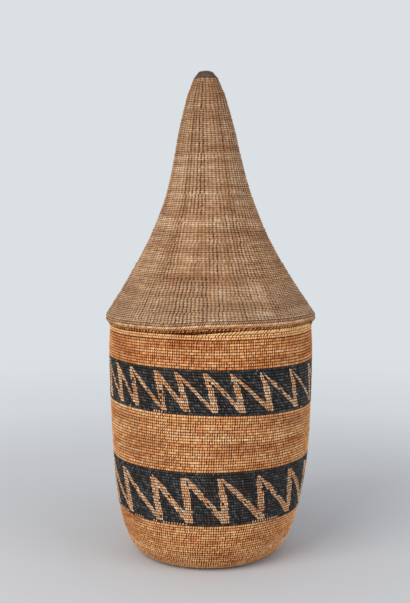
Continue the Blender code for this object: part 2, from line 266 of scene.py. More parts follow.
def ramp(tree, factor, stops):
    """Colour ramp through these stops, each a place and a hex colour or a share of white."""
    node = add(tree, "ShaderNodeValToRGB", [("Fac", factor)])
    elements = node.color_ramp.elements
    while len(elements) < len(stops):
        elements.new(0.5)
    for element, (place, code) in zip(elements, stops):
        element.position = place
        element.color = linear(code) if isinstance(code, str) else (code, code, code, 1)
    return node.outputs["Color"]


# The colour sockets of a Mix node, which has sockets of the same names for numbers
MIX_FACTOR = 0
MIX_FIRST = 6
MIX_SECOND = 7
MIX_RESULT = 2


def mixed(tree, factor, first, second):
    """Mix of two colours, each a socket or a hex code, by a socket."""
    node = add(tree, "ShaderNodeMix", data_type="RGBA", clamp_result=True)
    for index, value in ((MIX_FACTOR, factor), (MIX_FIRST, first), (MIX_SECOND, second)):
        if isinstance(value, bpy.types.NodeSocket):
            tree.links.new(value, node.inputs[index])
        else:
            node.inputs[index].default_value = linear(value)
    return node.outputs[MIX_RESULT]


def ranged(tree, value, fade, least=0.0, most=1.0):
    """From least to most as the value goes from one end of the fade to the other, and no further."""
    node = add(tree, "ShaderNodeMapRange", [("Value", value)])
    names = ("From Min", "From Max", "To Min", "To Max")
    for name, number in zip(names, (*fade, least, most)):
        node.inputs[name].default_value = number
    return node.outputs["Result"]


def noise(tree, place, wide, squeeze, detail=2.0, start=0.0):
    """Noise whose patches are this wide in metres, squeezed along each axis."""
    moved = add(tree, "ShaderNodeMapping", [("Vector", place)],
                Scale=squeeze, Location=(start, start, 0))
    made = add(tree, "ShaderNodeTexNoise", [("Vector", moved.outputs["Vector"])],
               Scale=1 / wide, Detail=detail, Roughness=0.6)
    return made.outputs["Fac"]


# Streaks of the leaf, 0.5 mm across and 4 mm long, up and down the wall. They stand up by 0.06 mm.
STREAK = dict(wide=0.0005, squeeze=(1.0, 1.0, 0.12))
STREAK_FADE = (0.45, 0.68)
STREAK_MOST = 0.25
STREAK_RELIEF = 0.00006
STREAK_BUMP = 0.35
# Stained patches, 36 mm wide and 9 mm high, and pale ones, 15 mm wide and 5 mm high
STAIN = dict(wide=0.036, squeeze=(1.0, 1.0, 4.0))
STAIN_FADE = (0.47, 0.68)
PALE = dict(wide=0.015, squeeze=(1.0, 1.0, 3.0), detail=3.0, start=0.3)
PALE_FADE = (0.50, 0.70)
# The way from the bottom of a gap or groove, where it is all shadow, to the open strip
CROWN_FADE = (0.20, 0.94)
# On the lid, dust lies in specks of 3 mm, and stained bands, 45 mm wide and 6 mm high, follow the rows.
SPECK = dict(wide=0.0032, squeeze=(1.0, 1.0, 1.0), detail=4.0)
SPECK_FADE = (0.35, 0.70)
BAND = dict(wide=0.045, squeeze=(1.0, 1.0, 7.0), start=0.7)
BAND_FADE = (0.46, 0.62)
BAND_MOST = 0.45
# More dust lies on the flat skirt, below 200 mm, and old smoke has browned the top from 250 mm up.
SKIRT_FADE = (0.200, 0.170)
SKIRT_MOST = 0.34
SMOKE = "#7E5A42"
SMOKE_FADE = (0.250, 0.320)
SMOKE_MOST = 0.30


def fibre(name, tones, stain, pale, gap, stains=0.6, pales=0.4, dust="", dusts=(0.1, 0.6),
          roughness=0.75, gloss=0.10, fuzz=0.0):
    """Dry plant fibre in strips: tones from strip to strip, stained and pale patches, painted shade in
    the gaps.
    """
    made = bpy.data.materials.new(name)
    made.use_nodes = True
    tree = made.node_tree
    shader = tree.nodes["Principled BSDF"]
    shader.inputs["Roughness"].default_value = roughness
    shader.inputs["Specular IOR Level"].default_value = gloss
    shader.inputs["Sheen Weight"].default_value = fuzz
    place = add(tree, "ShaderNodeTexCoord").outputs["Object"]
    tone = add(tree, "ShaderNodeAttribute", attribute_name="tone").outputs["Fac"]
    crown = add(tree, "ShaderNodeAttribute", attribute_name="crown").outputs["Fac"]
    streak = noise(tree, place, **STREAK)
    darkened = noise(tree, place, **STAIN)
    bleached = noise(tree, place, **PALE)
    colour = ramp(tree, tone, tones)
    colour = mixed(tree, ranged(tree, darkened, STAIN_FADE, most=stains), colour, stain)
    colour = mixed(tree, ranged(tree, bleached, PALE_FADE, most=pales), colour, pale)
    if dust:
        height = add(tree, "ShaderNodeSeparateXYZ", [("Vector", place)]).outputs["Z"]
        for value, fade, least, most, cover in (
            (noise(tree, place, **SPECK), SPECK_FADE, *dusts, dust),
            (noise(tree, place, **BAND), BAND_FADE, 0.0, BAND_MOST, stain),
            (height, SKIRT_FADE, 0.0, SKIRT_MOST, dust),
            (height, SMOKE_FADE, 0.0, SMOKE_MOST, SMOKE),
        ):
            colour = mixed(tree, ranged(tree, value, fade, least, most), colour, cover)
    colour = mixed(tree, ranged(tree, streak, STREAK_FADE, most=STREAK_MOST), colour, gap)
    # Painted shade: the gap colour fills the bottoms of gaps and grooves as the crown attribute falls.
    colour = mixed(tree, ranged(tree, crown, CROWN_FADE), gap, colour)
    tree.links.new(colour, shader.inputs["Base Color"])
    bump = add(tree, "ShaderNodeBump", [("Height", streak)],
               Strength=STREAK_BUMP, Distance=STREAK_RELIEF)
    tree.links.new(bump.outputs["Normal"], shader.inputs["Normal"])
    return made


def finish(piece, look, body, node):
    """Gives the piece its material and its body, and hides the CAD part that it stands for."""
    piece.data.materials.clear()
    piece.data.materials.append(look)
    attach(piece, body)
    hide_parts(node)


# Split palm leaf, dried to straw: pale and a little glossy, with golden brown painted shade where two
# strips meet.
pale_leaf = fibre(
    "dried_pale_leaf",
    [(0.0, "#D28850"), (0.35, "#FFCA92"), (0.6, "#F6C07A"), (1.0, "#F6CE90")],
    stain="#C07A3C", pale="#FFDCA4", gap="#8A4816", stains=0.3, roughness=0.65,
)
random = np.random.default_rng(11)
low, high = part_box("base_start_coil")
# The underside is the side that is sewn.
button_normal = np.array([0.0, -1.0])
rings = []
for radius, count in BUTTON_TURNS:
    borders = even_borders(count, 0.0, BUTTON_LEAN)
    point = np.array([radius, low.z])
    rings.append(sewn_ring(point, button_normal, BUTTON_PITCH, WALL_COIL, borders, random))
flat = (high.z - low.z) / 2 / BUTTON_HEART * HEART_HEIGHT
rings.append(heart(BUTTON_HEART, flat, (AXIS_SHIFTS[0], 0, (low.z + high.z) / 2)))
button = joined("start_button", rings)
finish(button, pale_leaf, "container", "base_start_coil")


# The floor: the same coil, wound on outwards in a flat, slightly hollow disc. Each strip is sewn over
# the grass of its own turn and through the edge of the turn before.
STRIP_WIDTH = 0.00162
COIL_PITCH = 0.0019
# The number of strips in a row is a multiple of this.
ANCHORS = 12
# How far the strips lean over a row, how far each row's are on from those of the row below, and by how
# much that varies, all in strips
STRIP_LEAN = 0.18
STRIP_DRIFT = 0.04
STRIP_WANDER = 0.05
# How far a row lies in or out of the wall
ROW_OFFSET = 0.00003
# Ribs, where strips stand in line: how open the gaps beside them are. A row keeps this share of what
# is odd in the tone of the row below, and adds as much of its own as the second share allows.
RIB_OPENNESS = (0.35, 0.85)
ROW_LIKENESS = 0.55
ROW_SHARE = 0.50
# The floor reaches to the first of the pale rows, and its strips are more slanted than the wall's.
FLOOR_RADIUS = 0.0392
FLOOR_LEAN = 0.6
FLOOR_ANCHORS = 6


def along_wall(path):
    """The path as an array, and the length along it at each of its points."""
    path = np.asarray(path, float)
    steps = np.linalg.norm(np.diff(path, axis=0), axis=1)
    return path, np.concatenate([[0.0], np.cumsum(steps)])


def rows_between(path, start, end, pitch):
    """Middles and outward normals of the rows that fill a path between two lengths, and their pitch."""
    path, lengths = along_wall(path)
    count = max(1, round((end - start) / pitch))
    pitch = (end - start) / count
    rows = []
    for row in range(count):
        middle = start + (row + 0.5) * pitch
        ends = [np.array([np.interp(middle + side * pitch / 2, lengths, path[:, i]) for i in (0, 1)])
                for side in (-1, 1)]
        step = (ends[1] - ends[0]) / np.linalg.norm(ends[1] - ends[0])
        point = np.array([np.interp(middle, lengths, path[:, i]) for i in (0, 1)])
        rows.append((point, np.array([step[1], -step[0]])))
    return rows, pitch


def strip_count(radius, width=STRIP_WIDTH, anchors=ANCHORS):
    """Strips round a coil. Their number grows in steps, so that strips stay in line from row to row."""
    return max(anchors, anchors * round(2 * math.pi * radius / width / anchors))


def sewn_rows(rows, pitch, section, seed, lean=STRIP_LEAN, gap_depth=GAP_DEPTH, width=STRIP_WIDTH,
              anchors=ANCHORS, drift=STRIP_DRIFT, wander=STRIP_WANDER, offset=ROW_OFFSET, shape=shaped,
              ribs=0.0, lift=0.0):
    """Rows of coil, one over the other, whose strips stay nearly in line.

    Where they make ribs, this share of a strip's tone goes by its place round the axis, and so does
    how open the gap beside it is.
    """
    random = np.random.default_rng(seed)
    slide = 0.0
    rings = []
    around = round(2 * math.pi * rows[len(rows) // 2][0][0] / width)
    rib_places = np.arange(around) / around * 2 * math.pi
    rib_tones = random.random(around)
    rib_gaps = random.uniform(*RIB_OPENNESS, around)
    row_tone = 0.0
    for point, normal in rows:
        slide += random.normal(drift, wander)
        point = point + normal * random.normal(0, offset)
        borders = even_borders(strip_count(point[0], width, anchors), slide, lean)
        tones, gaps = None, None
        if ribs:
            rib, gaps = [np.interp(borders[0][:-1], rib_places, values, period=2 * math.pi)
                         for values in (rib_tones, rib_gaps)]
            row_tone = ROW_LIKENESS * row_tone + ROW_SHARE * (random.random() - 0.5)
            tones = ribs * rib + (1 - ribs) * (0.5 + row_tone)
        rings.append(sewn_ring(point, normal, pitch, section, borders, random, gap_depth, tones, shape,
                               gaps, lift))
    return rings


# Strips of palm leaf, aged to orange tan: no two of one tone, with redder stains, peach highlights
# where they have worn, and deep brown painted shade in the gaps.
natural_leaf = fibre(
    "dried_tan_leaf",
    [(0.0, "#C87538"), (0.4, "#F0A264"), (0.75, "#FFC486"), (1.0, "#FFE0B2")],
    stain="#AC5222", pale="#FFCE98", gap="#4A1800", stains=0.55, pales=0.3,
)
low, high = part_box("base_disc")
inner_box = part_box("base_start_coil")
inner_radius = inner_box[1].x
floor_path = [(inner_radius, inner_box[0].z), (FLOOR_RADIUS, low.z)]
rows, pitch = rows_between(floor_path, 0.0, FLOOR_RADIUS - inner_radius, COIL_PITCH)
rings = sewn_rows(rows, pitch, WALL_COIL, seed=12, lean=FLOOR_LEAN, anchors=FLOOR_ANCHORS)
floor_rows = joined("base_rows", rings)
finish(floor_rows, natural_leaf, "container", "base_disc")


# The turn from floor to wall: seven pale rows, pulled up hard one over the other, so that their strips
# lie very slanted. The basket stands on the first two of them.
FOOT_RADIUS = 0.0422
FOOT_FLAT = 0.0035
# The foot's rounding: its radius, the wall's slope at its end, and the corners of its line
FOOT_ROUND = 0.0152
FOOT_LEAN = math.radians(52)
FOOT_STEPS = 40
# From there one long curve goes up to the belly. Its handles are this long at its two ends.
FOOT_HANDLE = 0.0241
BELLY_HANDLE = 0.0545
# The belly is this much wider than the mouth, and this far below it.
BELLY_SWELL = 0.0006
BELLY_DROP = 0.0121
MOUTH_RADIUS = 0.0714
BASE_EDGE_LENGTH = 0.0128
BASE_EDGE_LEAN = -0.8
BASE_EDGE_DRIFT = 0.5
BASE_EDGE_LIFT = 0.25
courses = ("lower_black_band", "middle_course", "upper_black_band", "top_course")
# The black strips end this far below the upper seam of their course, under a last row of tan ones.
DARK_TOPS = 0.0009


def curve(start, leave, arrive, end, steps=60):
    """Points of a cubic curve, both ends included."""
    t = np.linspace(0, 1, steps + 1)[:, None]
    weights = ((1 - t) ** 3, 3 * (1 - t) ** 2 * t, 3 * (1 - t) * t ** 2, t ** 3)
    return sum(w * np.array(p) for w, p in zip(weights, (start, leave, arrive, end)))


seams = [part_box(name)[0].z - DARK_TOPS * (place % 2) for place, name in enumerate(courses)]
wall_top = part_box("top_course")[1].z
turns = np.linspace(0, FOOT_LEAN, FOOT_STEPS)
rounding = np.stack([
    FOOT_RADIUS + FOOT_ROUND * np.sin(turns),
    FOOT_ROUND * (1 - np.cos(turns)),
], axis=1)
leaving = np.array([math.cos(FOOT_LEAN), math.sin(FOOT_LEAN)])
belly = np.array([MOUTH_RADIUS + BELLY_SWELL, wall_top - BELLY_DROP])
mouth = np.array([MOUTH_RADIUS, wall_top])
wall_path = np.concatenate([
    [(FOOT_RADIUS - FOOT_FLAT, 0.0)],
    rounding,
    curve(rounding[-1], rounding[-1] + FOOT_HANDLE * leaving, belly - (0, BELLY_HANDLE), belly)[1:],
    curve(belly, belly + (0, BELLY_DROP / 2), mouth, mouth)[1:],
])
wall_path, wall_lengths = along_wall(wall_path)
rows, pitch = rows_between(wall_path, 0.0, BASE_EDGE_LENGTH, COIL_PITCH)
rings = sewn_rows(rows, pitch, WALL_COIL, seed=13, lean=BASE_EDGE_LEAN, drift=BASE_EDGE_DRIFT,
                  lift=BASE_EDGE_LIFT)
edge_rows = joined("base_edge_rows", rings)
finish(edge_rows, pale_leaf, "container", "base_edge_coil")


# The foot: rows of tan coil that widen from row to row. New strips are let in as it widens, so that
# they stay of one width.
FOOT_LIFT = 0.07


def wall_rows(bottom, top):
    """Rows of the wall between two heights."""
    start, end = np.interp((bottom, top), wall_path[:, 1], wall_lengths)
    return rows_between(wall_path, start, end, COIL_PITCH)


edge_top = np.interp(BASE_EDGE_LENGTH, wall_lengths, wall_path[:, 1])
rows, pitch = wall_rows(edge_top, seams[0])
foot_rows = joined("foot_rows", sewn_rows(rows, pitch, WALL_COIL, seed=14, lift=FOOT_LIFT))
finish(foot_rows, natural_leaf, "container", "foot_course")


# The middle and top courses of the wall, between and above the two dark ones: the same coil of grass,
# sewn with the same tan strips as the foot. The top one was sewn with slightly darker leaf.
MIDDLE_LIFT = 0.08
TOP_LIFT = -0.06
for name, node, bottom, top, seed, lift in (
    ("middle_rows", "middle_course", seams[1], seams[2], 15, MIDDLE_LIFT),
    ("top_rows", "top_course", seams[3], wall_top, 16, TOP_LIFT),
):
    rows, pitch = wall_rows(bottom, top)
    piece = joined(name, sewn_rows(rows, pitch, WALL_COIL, seed=seed, lift=lift))
    finish(piece, natural_leaf, "container", node)


# The two dark courses: the same coil, sewn with strips that were boiled black in bark and mud. Where
# the zigzag runs, tan strips take the place of black ones, and lean as the stroke does.
LAID_TONES = (0.4, 1.0)
# The black strips are wide, those in a stroke narrow, and those of the hatching the finest.
BLACK_WIDTH = 0.00185
LAID_WIDTH = 0.00128
HATCH_WIDTH = 0.00100
# Tops of the zigzags that can be seen, in degrees right of the front, and how many go right round
UPPER_TOPS = (-62.8, -49.0, -30.8, -18.0, -2.9, 11.4, 27.9, 48.0, 69.3)
UPPER_COUNT = 22
LOWER_TOPS = (-79.3, -58.9, -34.65, -15.85, 5.0, 27.8, 50.8)
LOWER_COUNT = 17
TOP_SHIFT = math.radians(-2.0)
# Width of the thick and of the thin stroke, and how far the thick one slants to the right
UPPER_STROKES = (0.0045, 0.0038, 0.0070)
LOWER_STROKES = (0.0053, 0.0054, 0.0055)
# Metres of black above and below the zigzag, and how far its tops are off, as shares of its height
UPPER_MARGINS = (0.0002, 0.0010)
LOWER_MARGINS = (0.0007, 0.0012)
TOP_SPREAD = (-0.05, 0.06)
# The thick stroke begins with this share of its width and gains one width in this share of its height.
# From FOOT_START of its height down, its left side is cut away, by this share of its width at the end.
TIP_WIDTH = 0.20
TIP_RISE = 0.40
FOOT_START = 0.82
FOOT_CUT = 0.5
# The same for the tip of the thin stroke, and where its middle starts and ends on the thick strokes
# that it joins, as shares of their width
THIN_TIP = 0.25
THIN_RISE = 0.40
THIN_START = 0.12
THIN_END = 0.65
# Strokes that are nearer than this run together.
LEAST_GAP = 0.0006
# How far a stroke's edge is off from row to row, and the share of its strips that are black
RAG = 0.00026
SPECKS = 0.05
# Hatching in the lowest row, where every other strip is tan: the chance of it, and strips in a run
HATCH_SHARE = 0.30
HATCH_RUNS = (2, 12)
# The tan strips are this thick, and the black course is sunk under them by this much.
ZIG_STRIP = 0.00055
ZIG_SINK = 0.00040
# The first faces round a coil's section are those outside.
OUTER_FACES = 3


def zigzag_tops(seen, total):
    """Front angles of all the tops of a zigzag: those seen, in degrees, and the rest spaced evenly."""
    hidden = np.linspace(seen[-1], seen[0] + 360, total - len(seen) + 2)[1:-1]
    return np.radians(np.concatenate([seen, hidden])) + TOP_SHIFT


def strokes(share, tops, periods, thick, thin, slant):
    """Left and right borders of the thick and the thin stroke below each top, as front angles.

    The thick stroke shifts to the right on its way down. The thin one leaves the same top and slants
    down to the foot of the next thick one. The share counts the height from the top down.
    """
    swell = np.clip(TIP_WIDTH + share / TIP_RISE, 0, 1)
    cut = FOOT_CUT * np.clip((share - FOOT_START) / (1 - FOOT_START), 0, 1)
    middle = tops + thick * THIN_START + (periods + slant + thick * (THIN_END - THIN_START)) * share
    half = thin / 2 * np.clip(THIN_TIP + share / THIN_RISE, 0, 1)
    return (
        (tops + slant * share + thick * cut, tops + slant * share + thick * swell),
        (middle - half, middle + half),
    )


def stroke_runs(share, tall, starts, tops, periods, sizes, radius, random):
    """Runs of tan strips in a row: its left and right border, each an angle and a lean over the row.

    The strokes' borders are taken in the row's middle and at its two edges. Runs that nearly touch
    become one, also where the last of them meets the first.
    """
    levels = [(share + side * tall / 2 - starts) / (1 - starts) for side in (0, -1, 1)]
    at_middle, at_top, at_bottom = [strokes(level, tops, periods, *sizes) for level in levels]
    runs = []
    for top in np.flatnonzero((levels[0] >= 0) & (levels[0] <= 1)):
        for stroke in (0, 1):
            left, right = [
                (at_middle[stroke][side][top] + random.normal(0, RAG) / radius,
                 at_top[stroke][side][top] - at_bottom[stroke][side][top])
                for side in (0, 1)
            ]
            if runs and left[0] < runs[-1][1][0] + LEAST_GAP / radius:
                runs[-1][1] = max(runs[-1][1], right)
            else:
                runs.append([left, right])
    if len(runs) > 1 and runs[-1][1][0] - 2 * math.pi > runs[0][0][0] - LEAST_GAP / radius:
        last = runs.pop()
        runs[0][0] = (last[0][0] - 2 * math.pi, last[0][1])
    return runs


def zigzag_borders(runs, radius, random):
    """Borders of a dark row's strips, with how far they lean, and which of the strips are tan.

    The strips of a run, and the black ones from it to the next, share the room between its borders.
    Here and there a strip of a stroke is black.
    """
    angles = []
    leans = []
    marked = []
    for index, (left, right) in enumerate(runs):
        after = runs[(index + 1) % len(runs)][0]
        after = (after[0] + 2 * math.pi * (index == len(runs) - 1), after[1])
        for start, end, laid in ((left, right, True), (right, after, False)):
            width = LAID_WIDTH if laid else BLACK_WIDTH
            number = max(1, round((end[0] - start[0]) * radius / width))
            steps = np.arange(number) / number
            angles.extend(start[0] + (end[0] - start[0]) * steps)
            leans.extend(start[1] + (end[1] - start[1]) * steps)
            marked.extend(laid & (random.random(number) > SPECKS))
    angles.append(angles[0] + 2 * math.pi)
    leans.append(leans[0])
    return (np.array(angles) - math.pi / 2, np.array(leans)), np.array(marked)


def mark_faces(ring, section, marked):
    """Marks the outer faces of these strips of a ring."""
    faces = np.zeros((len(section), len(marked) * len(STRIP_STOPS)), np.float32)
    faces[:OUTER_FACES, np.repeat(marked, len(STRIP_STOPS))] = 1
    attribute = ring.data.attributes.new("laid", "FLOAT", "FACE")
    attribute.data.foreach_set("value", faces.reshape(-1))


def laid_strips(band, name):
    """The tan strips of a dark course as a piece of their own, in the bed that is sunk for them.

    The marked faces are doubled, and the doubles taken apart. The marked faces then sink, and their
    doubles get a thickness inwards.
    """
    laid = np.zeros(len(band.data.polygons), np.float32)
    band.data.attributes["laid"].data.foreach_get("value", laid)
    bpy.ops.object.mode_set(mode="EDIT")
    bpy.ops.mesh.select_mode(type="FACE")
    bpy.ops.mesh.select_all(action="DESELECT")
    bpy.ops.object.mode_set(mode="OBJECT")
    band.data.polygons.foreach_set("select", laid == 1)
    bpy.ops.object.mode_set(mode="EDIT")
    bpy.ops.mesh.duplicate()
    bpy.ops.mesh.separate(type="SELECTED")
    bpy.ops.object.mode_set(mode="OBJECT")
    strips = [piece for piece in bpy.context.selected_objects if piece != band][0]
    strips.name = name
    strips.data.name = name
    band.data.polygons.foreach_set("select", laid == 1)
    bpy.ops.object.select_all(action="DESELECT")
    bpy.context.view_layer.objects.active = band
    band.select_set(True)
    bpy.ops.object.mode_set(mode="EDIT")
    bpy.ops.transform.shrink_fatten(value=-ZIG_SINK)
    bpy.ops.object.mode_set(mode="OBJECT")
    solid = strips.modifiers.new("Strip", "SOLIDIFY")
    solid.thickness = ZIG_STRIP
    solid.offset = -1
    bpy.ops.object.select_all(action="DESELECT")
    bpy.context.view_layer.objects.active = strips
    strips.select_set(True)
    bpy.ops.object.modifier_apply(modifier=solid.name)
    return strips


# Palm leaf boiled black in bark and mud: near black, bluish where the dye lies thick and brown where
# it has worn thin, with a faint sheen and near black painted shade in its gaps.
black_leaf = fibre(
    "black_dyed_leaf",
    [(0.0, "#201D1C"), (0.5, "#383635"), (1.0, "#646261")],
    stain="#3E2A1E", pale="#2E3A40", gap="#080504", stains=0.6, pales=0.5, roughness=0.6, gloss=0.20,
)
# The tan strips among the black ones are greyer, and the painted shade in the gaps between them is as
# dark as the black.
laid_leaf = fibre(
    "tan_leaf_laid_in_black",
    [(0.0, "#C47844"), (0.4, "#ECA46C"), (0.8, "#FFCA9A"), (1.0, "#FFE2C2")],
    stain="#A86034", pale="#ECC8A8", gap="#1C100A", stains=0.4, pales=0.4,
)
for name, zig_name, node, zig_node, low, high, seen, total, sizes, margins, seed in (
    ("lower_black_rows", "lower_zigzag_strips", "lower_black_band", "lower_zigzag", seams[0], seams[1],
     LOWER_TOPS, LOWER_COUNT, LOWER_STROKES, LOWER_MARGINS, 21),
    ("upper_black_rows", "upper_zigzag_strips", "upper_black_band", "upper_zigzag", seams[2], seams[3],
     UPPER_TOPS, UPPER_COUNT, UPPER_STROKES, UPPER_MARGINS, 22),
):
    rows, pitch = wall_rows(low, high)
    random = np.random.default_rng(seed)
    tops = zigzag_tops(seen, total)
    periods = np.diff(tops, append=tops[0] + 2 * math.pi)
    starts = random.uniform(*TOP_SPREAD, total)
    middle_radius = np.interp((low + high) / 2, wall_path[:, 1], wall_path[:, 0])
    angular = [size / middle_radius for size in sizes]
    height = high - low - sum(margins)
    rings = []
    slide = 0.0
    for row, (point, normal) in enumerate(rows):
        radius = point[0]
        # The row's place below the zigzag's top, and its height, as shares of the zigzag's height
        share = (high - margins[0] - point[1]) / height
        tall = pitch * normal[0] / height
        slide += random.normal(0, STRIP_WANDER)
        if TOP_SPREAD[1] < share < 1:
            runs = stroke_runs(share, tall, starts, tops, periods, angular, radius, random)
            borders, marked = zigzag_borders(runs, radius, random)
        else:
            chance, width = (HATCH_SHARE, HATCH_WIDTH) if row == 0 else (0.0, STRIP_WIDTH)
            count = strip_count(radius, width)
            borders = even_borders(count, slide, STRIP_LEAN)
            hatched = random.random(count) < chance
            hatched = np.repeat(hatched, random.integers(*HATCH_RUNS, count))[:count]
            marked = hatched & (np.arange(count) % 2 == 0)
        tones = np.where(marked, random.uniform(*LAID_TONES, len(marked)), random.random(len(marked)))
        ring = sewn_ring(point, normal, pitch, WALL_COIL, borders, random, tones=tones)
        mark_faces(ring, WALL_COIL, marked)
        rings.append(ring)
    band = joined(name, rings)
    strips = laid_strips(band, zig_name)
    finish(band, black_leaf, "container", node)
    finish(strips, laid_leaf, "container", zig_node)


# The rim: two last rows, and on them a pale strand in herringbone. It begins thin in front, thickens to
# the right, where the lid rests on it, and thins out at the side.
RIM_TONES = (0.32, 0.42)
# Lean of the strips of the lower row, in strips, and of the upper one, in metres
LOWER_LEAN = 0.2
UPPER_LEAN = 0.0003
# Widths of the strips on the upper row, where it is bare and where the strand runs, and the depth of
# the holes between them
BEAD = 0.0017
STRAND = 0.0025
HOLE_DEPTH = 0.0007
RIM_STEPS = 721
# The strand's section, in the same terms as the wall coil's, for a strand of full size, its height, how
# far its foot is below the rim's top, and how deep inside the rim it runs where it isn't seen
STRAND_COIL = (
    (0.0, 0.0012, 1.0, 0.5, 0.0),
    (0.2, 0.0001, 0.2, 1.0, 0.2),
    (0.5, -0.0003, 0.0, 1.0, 0.5),
    (0.8, 0.0000, 0.0, 1.0, 0.8),
    (1.0, 0.0011, 0.1, 1.0, 1.1),
    (0.97, 0.0028, 0.1, 1.0, 1.5),
    (0.5, 0.0037, 0.2, 0.5, 1.9),
    (0.0, 0.0034, 1.0, -0.6, 2.0),
)
STRAND_HEIGHT = 0.0028
STRAND_FOOT = 0.00015
STRAND_SUNK = 0.0015
# There it goes on as a thread, this share of its full size.
THREAD = 0.04
STRAND_GAP = 0.00045
STRAND_LEAN = 1.3
STRAND_TONES = (0.36, 0.85)
# Where the strand grows and where it thins out, in degrees right of the front
STRAND_RISE = (-14, 16)
STRAND_FALL = (66, 84)


def eased(value, low, high):
    """Smooth step from 0 at the low value to 1 at the high one."""
    share = np.clip((value - low) / (high - low), 0, 1)
    return share * share * (3 - 2 * share)


def between(angle, rise, fall):
    """1 between two angles right of the front, in degrees, with eased ends, and 0 elsewhere."""
    front = np.mod(np.degrees(angle) + 270, 360) - 180
    return eased(front, *rise) * (1 - eased(front, *fall))


random = np.random.default_rng(31)
low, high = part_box("rim_braid")
rim_path = [(MOUTH_RADIUS, low.z), (MOUTH_RADIUS, high.z)]
rows, pitch = rows_between(rim_path, 0.0, high.z - low.z, COIL_PITCH)
(lower_point, out), (upper_point, _) = rows
# The strips of the upper row are counted off round the rim, each of the width that it has there.
turn = np.linspace(-math.pi, math.pi, RIM_STEPS) - math.pi / 2
width = BEAD + (STRAND - BEAD) * between(turn, STRAND_RISE, STRAND_FALL)
counted = np.concatenate([[0.0], np.cumsum(high.x * np.diff(turn) / width[1:])])
total = round(counted[-1])
starts = np.interp(np.arange(total + 1) / total * counted[-1], counted, turn)
share = between(starts, STRAND_RISE, STRAND_FALL)
lower_borders = even_borders(strip_count(high.x), 0.0, LOWER_LEAN)
upper_borders = starts, np.full(total + 1, UPPER_LEAN / high.x)
strand_borders = starts, STRAND_LEAN * STRAND * share / high.x
# As the strand grows, so do its width, its depth and its gaps.
columns = np.append(np.repeat(starts[:-1], len(STRIP_STOPS)), starts[-1])
grown = THREAD + (1 - THREAD) * between(columns, STRAND_RISE, STRAND_FALL)
section = np.array(STRAND_COIL)[:, :, None] * np.ones(len(columns))
section[:, 0] *= grown
section[:, 1] = STRAND_SUNK + (section[:, 1] - STRAND_SUNK) * grown
section[:, 3] *= grown
point = np.array([high.x, high.z - STRAND_FOOT])
tones = STRAND_TONES[0] + (STRAND_TONES[1] - STRAND_TONES[0]) * share[:-1]
rim = joined("rim_herringbone", [
    sewn_ring(lower_point, out, pitch, WALL_COIL, lower_borders, random, tones=RIM_TONES[0]),
    sewn_ring(upper_point, out, pitch, WALL_COIL, upper_borders, random, HOLE_DEPTH, RIM_TONES[1]),
    sewn_ring(point, out, STRAND_HEIGHT, section, strand_borders, random, STRAND_GAP, tones),
])
finish(rim, pale_leaf, "container", "rim_braid")


# The lid's collar: rows of thin coil that drop into the mouth and keep the lid in the middle. The whole
# lower end of the lid is bent up a little in front and at the right, where it rests on the strand.
COLLAR_WALL = 0.0026
BEND = 0.0024
# Where the bend begins and ends, in degrees right of the front, and how much of it is left at a height
BEND_RISE = (-27, 2)
BEND_FALL = (66, 84)
BEND_HEIGHTS = (0.150, 0.1636, 0.171, 0.200)
BEND_SHARES = (0.0, 1.0, 1.0, 0.0)


def lid_shaped(radius, angle, level):
    """Places of the lid's surface, with its bend."""
    places = shaped(radius, angle, level)
    bend = between(angle, BEND_RISE, BEND_FALL) * np.interp(level, BEND_HEIGHTS, BEND_SHARES)
    places[..., 2] += BEND * bend
    return places


def wall_coil(thickness):
    """The wall coil's section, with another thickness."""
    return [(along, thickness if depth == WALL else depth, *rest) for along, depth, *rest in WALL_COIL]


low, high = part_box("lid_flange")
collar_radius = high.x
collar_path = [(collar_radius, low.z), (collar_radius, high.z)]
rows, pitch = rows_between(collar_path, 0.0, high.z - low.z, COIL_PITCH)
rings = sewn_rows(rows, pitch, wall_coil(COLLAR_WALL), seed=41, shape=lid_shaped)
collar = joined("lid_collar_rows", rings)
finish(collar, natural_leaf, "lid", "lid_flange")


# The seat: a dark row under the lid's edge, its darkness painted shade. Every 2.6 mm a lighter stitch
# crosses it.
SEAT_STEP = 0.0026
SEAT_PROUD = 0.0007
# The stitch takes this share of the step, and all strips lean by the second share of it.
STITCH_SHARE = 0.36
SEAT_LEAN = 0.5
STITCH_TONES = (0.65, 1.0)
# Tones of the strips between the stitches: dark, as painted shade under the lid's edge
SHADED_TONES = (0.05, 0.40)
# Tan leaf, russet, painted dark for the shade under the lid's edge and near black in its gaps for
# painted shade, with light stitches.
russet_leaf = fibre(
    "russet_leaf_painted_shade",
    [(0.0, "#662A06"), (0.3, "#964A14"), (0.6, "#DC9052"), (1.0, "#FFC48A")],
    stain="#6A2E06", pale="#9A5426", gap="#301000", stains=0.4, pales=0.2,
)
random = np.random.default_rng(42)
low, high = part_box("lid_seat_coil")
count = 2 * round(2 * math.pi * high.x / SEAT_STEP)
steps = np.arange(count + 1)
starts = (steps - (steps % 2) * (1 - 2 * STITCH_SHARE)) / count * 2 * math.pi - math.pi / 2
# The strips between the stitches are painted dark, as shade under the lid's edge.
darkened = random.uniform(*SHADED_TONES, count)
tones = np.where(steps[:-1] % 2, darkened, random.uniform(*STITCH_TONES, count))
borders = starts, np.full(count + 1, SEAT_LEAN * SEAT_STEP / high.x)
out = np.array([1.0, 0.0])
point = np.array([high.x + SEAT_PROUD, (low.z + high.z) / 2])
section = wall_coil(high.x + SEAT_PROUD - collar_radius + COLLAR_WALL)
seat = joined("lid_seat_rows", [
    sewn_ring(point, out, high.z - low.z, section, borders, random, tones=tones, shape=lid_shaped),
])
finish(seat, russet_leaf, "lid", "lid_seat_coil")


